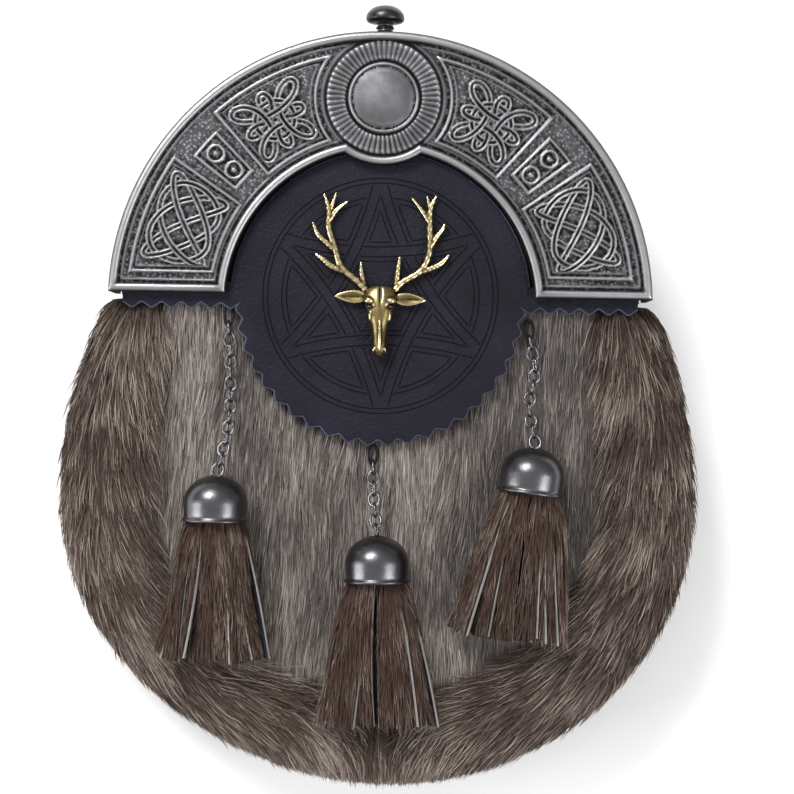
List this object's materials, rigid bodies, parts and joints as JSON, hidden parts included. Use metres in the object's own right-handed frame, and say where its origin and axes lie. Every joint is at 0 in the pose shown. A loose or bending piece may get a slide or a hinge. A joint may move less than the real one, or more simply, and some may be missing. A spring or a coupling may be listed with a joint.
{
  "type": "sporran pouch",
  "caption": "Fur-faced belt pouch with a half-moon metal cantle, scalloped leather apron, stag badge and chained tassels, lying on its back.",
  "frame": {"origin": "on the resting plane, below the middle of the whole object's box", "axes": "+Z out of the front of the pouch, +Y from the fur's bottom edge up to the knob, +X to the right seen from the front"},
  "size_m": [0.1934, 0.2372, 0.0527],
  "materials": {
    "antique_silver": "cast plate, antiqued: dark stippled ground and polished high lines",
    "gunmetal": "dark polished nickel",
    "antique_brass": "cast, antiqued, dark recesses",
    "dark_leather": "fine grain, satin, embossed lines",
    "grey_fur": "short sleek hair",
    "brown_fur": "long coarse hair with pale tips",
    "black_thread": "waxed thread"
  },
  "bodies": {
    "root": {"cantle": "antique_silver", "top_knob": "gunmetal", "leather_apron": "dark_leather", "fur_front_panel": "grey_fur", "fur_gusset": "brown_fur", "top_gusset": "dark_leather", "back_panel": "dark_leather", "back_flap": "dark_leather", "flap_snap": "gunmetal", "stag_head": "antique_brass", "ring_tab_left": "dark_leather", "d_ring_left": "gunmetal", "ring_tab_right": "dark_leather", "d_ring_right": "gunmetal", "thread_loop_left": "black_thread", "chain_left_link_01": "gunmetal", "chain_left_link_02": "gunmetal", "chain_left_link_03": "gunmetal", "chain_left_link_04": "gunmetal", "chain_left_link_05": "gunmetal", "chain_left_link_06": "gunmetal", "chain_left_link_07": "gunmetal", "chain_left_link_08": "gunmetal", "chain_left_link_09": "gunmetal", "chain_left_link_10": "gunmetal", "chain_left_link_11": "gunmetal", "chain_left_link_12": "gunmetal", "chain_left_link_13": "gunmetal", "chain_left_link_14": "gunmetal", "tassel_bell_left": "gunmetal", "tassel_skirt_left": "brown_fur", "thread_loop_middle": "black_thread", "chain_middle_link_01": "gunmetal", "chain_middle_link_02": "gunmetal", "chain_middle_link_03": "gunmetal", "chain_middle_link_04": "gunmetal", "chain_middle_link_05": "gunmetal", "chain_middle_link_06": "gunmetal", "chain_middle_link_07": "gunmetal", "tassel_bell_middle": "gunmetal", "tassel_skirt_middle": "brown_fur", "thread_loop_right": "black_thread", "chain_right_link_01": "gunmetal", "chain_right_link_02": "gunmetal", "chain_right_link_03": "gunmetal", "chain_right_link_04": "gunmetal", "chain_right_link_05": "gunmetal", "chain_right_link_06": "gunmetal", "chain_right_link_07": "gunmetal", "chain_right_link_08": "gunmetal", "chain_right_link_09": "gunmetal", "chain_right_link_10": "gunmetal", "tassel_bell_right": "gunmetal", "tassel_skirt_right": "brown_fur"}
  },
  "joints": []
}
